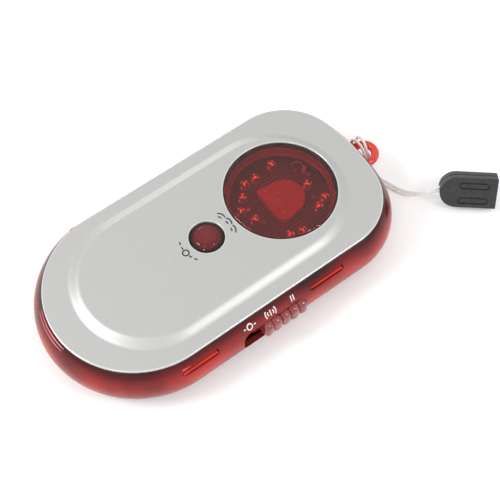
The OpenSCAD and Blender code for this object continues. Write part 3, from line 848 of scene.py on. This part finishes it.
def plate_edge():
    """Rounded outer edge of the plate, in the lighter metal that paints a highlight along it."""
    section = [(0.0, 19.6), (0.07, 19.66), (0.07, 19.8), (0.0, 19.92), (-0.12, 20.0), (-0.3, 20.03),
               (-0.3, 19.9), (-0.1, 19.7)]
    edge = loft("edge", [at_height(outline(d), z) for d, z in section], wrap_section=True)
    return finish_piece(edge, "bright_edge", sharp=60)


def hole_edges():
    """Turned-in lips of the two openings of the plate, in the lighter metal that paints a highlight round
    each.
    """
    parts = []
    low, round_r, outer = FACE_TOP - 1.4, 0.24, 0.34
    for at, r in OPENINGS:
        lip = [(r + LIP_T, low), (r, low)]
        for k in range(7):
            a = math.pi / 12 * k
            lip.append((r + round_r * (1 - math.cos(a)), FACE_TOP - 0.22 + round_r * math.sin(a)))
        lip.append((r + outer, FACE_TOP + 0.01))
        lip.append((r + outer, FACE_TOP - 0.2))
        parts.append(lathe("lip", lip, at, RIM_STEPS))
    return finish_piece(combine("opening_lips", parts), "bright_edge")


def window_lens():
    """Tinted pane just below the face, the dark rim under it and the skirt that holds both."""
    r = WINDOW_R - 0.6
    top = FACE_TOP - 0.2
    under = top - 1.4
    flat_r = r - 0.6
    profile = [(ON_AXIS, under), (ON_AXIS, top), (flat_r, top)]
    profile += fillet(flat_r, top, r, top - 0.5, 5)[1:]
    profile += [(r, under)]
    pane = lathe("window_pane", profile, WINDOW, RIM_STEPS)
    finish_piece(pane, "window", replaces=["window_lens"], sharp=30)
    rim_in, rim_out = r - 0.5, r - 0.04
    rim_top, rim_low = under - 0.04, under - 0.6
    rim = [(rim_in, rim_top), (rim_out, rim_top), (rim_out, rim_low), (rim_in, rim_low)]
    finish_piece(lathe("window_rim", rim, WINDOW, RIM_STEPS), "rim_dark", sharp=30)
    low = DECK_BOT - 1.2
    foot, foot_r = DECK_BOT - 0.02, WINDOW_R + 1.2
    skirt = [(r - 0.96, under - 0.62), (r - 0.02, under - 0.62), (r - 0.02, foot), (foot_r, foot),
             (foot_r, low), (WINDOW_R - 2.2, low), (WINDOW_R - 1.5, low + 0.6),
             (WINDOW_R - 1.45, under - 0.8)]
    finish_piece(lathe("window_skirt", skirt, WINDOW, RIM_STEPS), "skirt", sharp=30)


def window_gap_ring():
    """Thin dark ring in the gap between the pane and the plate."""
    inner, outer = WINDOW_R - 0.59, WINDOW_R - 0.02
    top, low = FACE_TOP - 0.6, DECK_TOP + 0.2
    profile = [(inner, top), (outer, top), (outer, low), (inner, low)]
    return finish_piece(lathe("window_gap", profile, WINDOW, 128), "seam")


def scan_button():
    """Button in one turned profile: stem, flange under the plate, edge, shoulder and dome."""
    r = BUTTON_R - 0.2
    edge = 21.45
    dome_r = r - 0.95
    crown = 22.8
    stem_r, stem_low = 2.4, 17.0
    flange_r, flange_low, flange_top = 7.1, 19.3, 20.55
    profile = [(ON_AXIS, stem_low), (stem_r, stem_low), (stem_r, flange_low), (flange_r, flange_low),
               (flange_r, flange_top), (r, flange_top), (r, edge - 0.4)]
    profile += fillet(r, edge - 0.4, r - 0.35, edge, 4)[1:]
    profile += [(dome_r + 0.12, edge - 0.02), (dome_r, edge + 0.1)]
    shoulder = edge + 0.95
    flat_r = dome_r - 1.3
    profile += fillet(dome_r, edge + 0.2, flat_r, shoulder, 8)
    steps = 10
    for k in range(1, steps + 1):
        rr = flat_r * (1 - k / steps)
        profile.append((max(rr, ON_AXIS), crown - (crown - shoulder) * (rr / flat_r) ** 2))
    cap = lathe("button_cap", profile, BUTTON, 96)
    return finish_piece(cap, "button", body="button", replaces=["scan_button"], sharp=32)


def selector_knob():
    """A clear bar with five soft lobes, and a guide flange behind the wall."""
    middle, pitch, lobes = 4.05, 3.42, 5
    half = pitch * lobes / 2
    mid_height = 10.5
    root = -30.8
    neck = 1.0
    squareness = 0.62
    steps, sides = lobes * 14, 12
    rings = []
    for k in range(steps + 1):
        along = -half + 2 * half * k / steps
        lobe = abs(math.sin(math.pi * (along + half) / pitch)) ** 0.4
        end = min(1.0, (half - abs(along)) / 1.1)
        end = math.sqrt(max(0.02, 1 - (1 - end) ** 2))
        depth = (3.65 + 1.1 * lobe) * (0.35 + 0.65 * end)
        tall = (3.1 + 0.45 * lobe) * (0.4 + 0.6 * end)
        ring = [(middle + along, root, mid_height - tall), (middle + along, root, mid_height + tall)]
        for j in range(sides + 1):
            a = QUARTER - math.pi * j / sides
            round_y = math.copysign(abs(math.cos(a)) ** squareness, math.cos(a))
            round_z = math.copysign(abs(math.sin(a)) ** squareness, math.sin(a))
            y = root - neck - (depth - neck) * round_y
            ring.append((middle + along, y, mid_height + tall * round_z))
        rings.append(ring)
    grip = loft("grip", rings, cap_ends=True)
    flange = box_object("flange", -6.4, 14.4, -30.6, -29.8, 6.1, 14.9)
    bevel(flange, 0.2, 2)
    knob = combine("knob", [grip, flange])
    return finish_piece(knob, "knob", body="selector", replaces=["selector_knob"], sharp=55)


def lanyard_eye():
    """Red ring at the head end on a bar that sits behind the wall."""
    steps, sides = 72, 24
    centre = (65.3, 0.0)
    ring_r, tube_r = 3.9, 1.4
    rings = []
    for k in range(steps):
        a = FULL * k / steps
        ring = []
        for j in range(sides):
            b = FULL * j / sides
            r = ring_r + tube_r * math.cos(b)
            ring.append((centre[0] + r * math.cos(a), centre[1] + r * math.sin(a),
                         MID_Z + tube_r * math.sin(b)))
        rings.append(ring)
    eye = loft("eye_ring", rings, wrap_section=True)
    bar = box_object("bar", 58.6, 60.8, -3.2, 3.2, 7.6, 12.4)
    bevel(bar, 0.3, 2)
    eye = combine("eye_ring", [eye, bar])
    return finish_piece(eye, "eye", replaces=["lanyard_eye"], sharp=40)


# ---------------------------------------------------------------- printed marks
MARK_LIFT = 0.005


def ribbon(name, strokes, width, place):
    """Flat strokes of that width; place(u, v, lift) gives the 3-D point of a spot on the surface."""
    thick = 0.04
    points, faces = [], []
    for stroke in strokes:
        n = len(stroke)
        base = len(points)
        for i, (u, v) in enumerate(stroke):
            a, b = stroke[max(i - 1, 0)], stroke[min(i + 1, n - 1)]
            tu, tv = b[0] - a[0], b[1] - a[1]
            size = math.hypot(tu, tv) or 1.0
            nu, nv = -tv / size * width / 2, tu / size * width / 2
            for s in (-1, 1):
                points.append(place(u + s * nu, v + s * nv, 0.0))
                points.append(place(u + s * nu, v + s * nv, thick))
        for i in range(n - 1):
            p, q = base + 4 * i, base + 4 * (i + 1)
            faces += [(p, p + 1, q + 1, q), (p + 2, q + 2, q + 3, p + 3), (p + 1, p + 3, q + 3, q + 1),
                      (p, q, q + 2, p + 2)]
        faces += [(base, base + 2, base + 3, base + 1)]
        end = base + 4 * (n - 1)
        faces += [(end, end + 1, end + 3, end + 2)]
    return mesh_object(name, points, faces)


def arc_stroke(cx, cy, r, a0, a1, steps):
    """An arc as a stroke, its angles in degrees."""
    return [(cx + r * math.cos(math.radians(a0 + (a1 - a0) * k / steps)),
             cy + r * math.sin(math.radians(a0 + (a1 - a0) * k / steps))) for k in range(steps + 1)]


def face_marks():
    """Signal arcs on the head side of the button and a ring between dashes on the tail side."""
    def place(u, v, lift):
        return (BUTTON[0] + u, BUTTON[1] + v, FACE_TOP + MARK_LIFT + lift)

    strokes = []
    signal_out, dash_out = 7.6, 8.9
    for out in (24, 3, -18):
        cx, cy = signal_out * math.cos(math.radians(out)), signal_out * math.sin(math.radians(out))
        for r in (0.9, 2.2):
            strokes.append(arc_stroke(cx, cy, r, out - 42, out + 42, 6))
    for at in (159, 172, 198, 211):
        strokes.append(arc_stroke(0, 0, dash_out, at - 3.5, at + 3.5, 4))
    a = math.radians(185)
    hub = (dash_out * math.cos(a), dash_out * math.sin(a))
    strokes.append(arc_stroke(*hub, 1.05, 0, 360, 28))
    return finish_piece(ribbon("face_marks", strokes, 0.42, place), "print_dark")


def upright(x, z):
    """A short upright stroke in enough steps to follow the curved wall."""
    half, steps = 0.95, 8
    return [(x, z - half + 2 * half * k / steps) for k in range(steps + 1)]


def side_marks():
    """Above the selector slot: a ring between dashes, a bar between arcs, and two bars."""
    def place(u, v, lift):
        return (u, -(PLATE_HALF + side_offset(v) + MARK_LIFT + lift), v)

    z = 16.6
    first, second, third = -8.8, -0.6, 8.1
    strokes = [arc_stroke(first, z, 0.95, 0, 360, 20)]
    strokes += [[(first + side * 1.6, z), (first + side * 2.3, z)] for side in (-1, 1)]
    strokes.append(upright(second, z))
    for r in (1.1, 2.0):
        strokes += [arc_stroke(second, z, r, -35, 35, 5), arc_stroke(second, z, r, 145, 215, 5)]
    for dx in (-0.45, 0.45):
        strokes.append(upright(third + dx, z))
    return finish_piece(ribbon("side_marks", strokes, 0.38, place), "print_light")


# ---------------------------------------------------------------- seen through the window
def sounder():
    """Round sounder whose case draws out to a corner on the tail side."""
    cx, cy = WINDOW
    # middle, as x and y from the window's, and radius of each round part of the outline
    discs = [(1.9, -0.1, 6.9), (-3.4, 6.4, 1.1), (-1.9, -4.4, 3.1)]
    steps = 144
    hull = []
    for k in range(steps):
        a = FULL * k / steps
        x, y, r = max(discs, key=lambda d: d[0] * math.cos(a) + d[1] * math.sin(a) + d[2])
        hull.append((cx + x + r * math.cos(a), cy + y + r * math.sin(a)))
    top = BOARD_TOP + 2.6
    case = prism("case", hull, BOARD_TOP, top)
    bevel(case, 0.4, 3, 50)
    lid_r = 5.2
    profile = [(ON_AXIS, top), (lid_r, top), (lid_r, top + 0.22), (lid_r - 0.2, top + 0.3),
               (ON_AXIS, top + 0.35)]
    lid = lathe("lid", profile, (cx + discs[0][0], cy + discs[0][1]), 72)
    case = combine("sounder_case", [case, lid])
    return finish_piece(case, "sounder", replaces=["sounder", "sounder_disc"])


# the middle of each lamp, measured from the window's, and the size of one lamp
LAMPS = [
    (6.6, 13.4), (-1.1, 12.3), (-5.6, 12.5), (-9.3, 8.6), (-12.9, 4.6), (-11.1, -0.7),
    (-5.4, -12.3), (-1.1, -13.5), (9, -9.5), (13, -7.8), (11.3, -0.2),
]
LAMP_R = 1.5
LAMP_BODY = 1.8


def cup_rim(at, start, z):
    """A short piece of the rim of a lamp's cup, from the angle start; the rim's glow is a painted glint."""
    inner_r, outer_r = 0.62, 0.86
    angles = (0, 0.3, 0.6)
    inner = [(at[0] + inner_r * math.cos(start + t), at[1] + inner_r * math.sin(start + t)) for t in angles]
    outer = [(at[0] + outer_r * math.cos(start + t), at[1] + outer_r * math.sin(start + t))
             for t in reversed(angles)]
    return prism("rim", inner + outer, z + 2.1, z + 2.3)


def dome_arc(r, z, height, steps):
    """Points of a turned dome, from its foot to just short of its top."""
    angles = [QUARTER * k / steps for k in range(steps)]
    return [(r * math.cos(t), z + height * math.sin(t)) for t in angles]


def lamps():
    """Clear red domes; in each a die between two posts and the broken rim of its cup; die, posts and rim
    glow as painted glints.
    """
    domes, cups = [], []
    z0 = BOARD_TOP
    flange_r = 1.68
    for i, (dx, dy) in enumerate(LAMPS):
        at = (WINDOW[0] + dx, WINDOW[1] + dy)
        profile = [(ON_AXIS, z0), (LAMP_R, z0), (flange_r, z0 + 0.1), (flange_r, z0 + 0.5),
                   (LAMP_R, z0 + 0.6)]
        profile += dome_arc(LAMP_R, z0 + LAMP_BODY, LAMP_R, 7)
        profile.append((ON_AXIS, z0 + LAMP_BODY + LAMP_R))
        domes.append(lathe("dome", profile, at, 32))
        turn = 0.9 * i
        cups += [cup_rim(at, turn + 2.1 * k, z0) for k in range(3)]
        cups.append(prism("die", soft_rect(*at, 0.4, 0.4, 0.08, 2), z0 + 1.9, z0 + 2.25))
        for side in (-0.9, 0.9):
            plan = soft_rect(at[0] + side, at[1], 0.3, 0.3, 0.08, 2)
            cups.append(prism("post", plan, z0 + 0.05, z0 + 1.2))
    finish_piece(combine("lamp_cups", cups), "lamp_cup")
    finish_piece(combine("lamp_domes", domes), "lamps", replaces=["indicator_leds"])


def thin_wire(name, pts, r, material):
    """A wire over the board; its points are measured from the middle of the window."""
    placed = [(WINDOW[0] + x, WINDOW[1] + y, z) for x, y, z in pts]
    obj = tube(name, placed, r, "POLY", 3, material)
    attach(obj, "housing")


def window_wires():
    """Two thin leads on the sounder, which meet at its middle, and one lead beside a lamp."""
    z = 15.6
    thin_wire("sounder_lead_a", [(-1.4, 2.6, z), (1.2, 1.4, z + 0.6), (4.2, 1.9, z + 0.2), (6.5, 1.5, z)],
              0.14, "print_light")
    thin_wire("sounder_lead_b", [(0.2, 3.2, z), (1.2, 1.4, z + 0.5), (0.4, -0.6, z)],
              0.14, "print_light")
    thin_wire("lamp_lead", [(12.2, 9.6, 13.5), (13.4, 8.9, 15.0), (14.6, 7.4, 15.4), (14.4, 5.8, 14.8)],
              0.2, "solder")


def small_parts():
    """Solder joints and loose drops of resin, each as x and y from the window, height and radius."""
    on_sounder = 15.3
    bright = [(-2.1, 5.2, on_sounder, 0.45), (-2.4, -4.9, on_sounder, 0.45),
              (-10.0, 4.4, BOARD_TOP, 0.9), (14.9, 3.4, BOARD_TOP, 0.8)]
    dull = [(-9.0, -3.1, BOARD_TOP, 0.9), (-14.6, 0.5, BOARD_TOP, 0.8),
            (10.5, -4.9, BOARD_TOP, 1.0), (12.6, 7.2, BOARD_TOP, 0.9)]
    flatness = 0.8
    for name, spots, material in (("solder_joints", bright, "solder"), ("resin_drops", dull, "lamps")):
        parts = []
        for dx, dy, z0, r in spots:
            height = flatness * r
            profile = [(ON_AXIS, z0)] + dome_arc(r, z0, height, 5) + [(ON_AXIS, z0 + height)]
            parts.append(lathe("dot", profile, (WINDOW[0] + dx, WINDOW[1] + dy), 20))
        finish_piece(combine(name, parts), material)


upper_shell()
grip_glint_strips()
make_tail_lines()
lower_shell()
battery_door()
battery_bay()
seam()
face_plate()
hole_edges()
plate_edge()
window_lens()
window_gap_ring()
scan_button()
selector_knob()
lanyard_eye()
face_marks()
side_marks()
sounder()
lamps()
window_wires()
small_parts()


# ---------------------------------------------------------------- stage
def make_floor():
    """Plain pale floor just under the part; size is half its side, in metres."""
    mesh = bpy.data.meshes.new("floor")
    size = 4.0
    corners = [(-size, -size, 0), (size, -size, 0), (size, size, 0), (-size, size, 0)]
    mesh.from_pydata(corners, [], [(0, 1, 2, 3)])
    floor = bpy.data.objects.new("floor", mesh)
    bpy.context.collection.objects.link(floor)
    m = Shader("floor", (0.9, 0.9, 0.9), 0.9, Emission_Color=(1, 1, 1, 1), Emission_Strength=0.12)
    m.vary_color(3, (0.9, 0.9, 0.9), (0.92, 0.92, 0.92))
    floor.data.materials.append(m.mat)
    floor.location.z = -0.0001


def area_light(name, direction, distance, size, power):
    """A round light, distance metres from the origin in that direction and aimed at it."""
    light = bpy.data.lights.new(name, "AREA")
    light.shape = "DISK"
    light.size = size
    light.energy = power
    obj = bpy.data.objects.new(name, light)
    aim = Vector(direction).normalized()
    obj.location = aim * distance
    obj.rotation_euler = (-aim).to_track_quat("-Z", "Y").to_euler()
    bpy.context.collection.objects.link(obj)


def make_light():
    """Even white surroundings, three soft lights and two small ones for the sparkle."""
    world = bpy.data.worlds.new("world")
    world.use_nodes = True
    background = world.node_tree.nodes["Background"]
    background.inputs["Color"].default_value = (1, 1, 1, 1)
    background.inputs["Strength"].default_value = 0.85
    bpy.context.scene.world = world
    area_light("tail", (-0.62, 0.28, 0.67), distance=0.9, size=0.36, power=3.4)
    area_light("front", (0.3, -0.65, 0.72), distance=0.9, size=0.2, power=1.15)
    area_light("back", (0.3, 0.93, 0.22), distance=0.9, size=0.3, power=0.45)
    area_light("spark_left", (-0.7, -0.45, 0.5), distance=1.0, size=0.07, power=0.7)
    area_light("spark_right", (0.45, -0.75, 0.45), distance=1.0, size=0.07, power=0.7)
    bpy.context.scene.view_settings.view_transform = "Standard"


make_floor()
make_light()
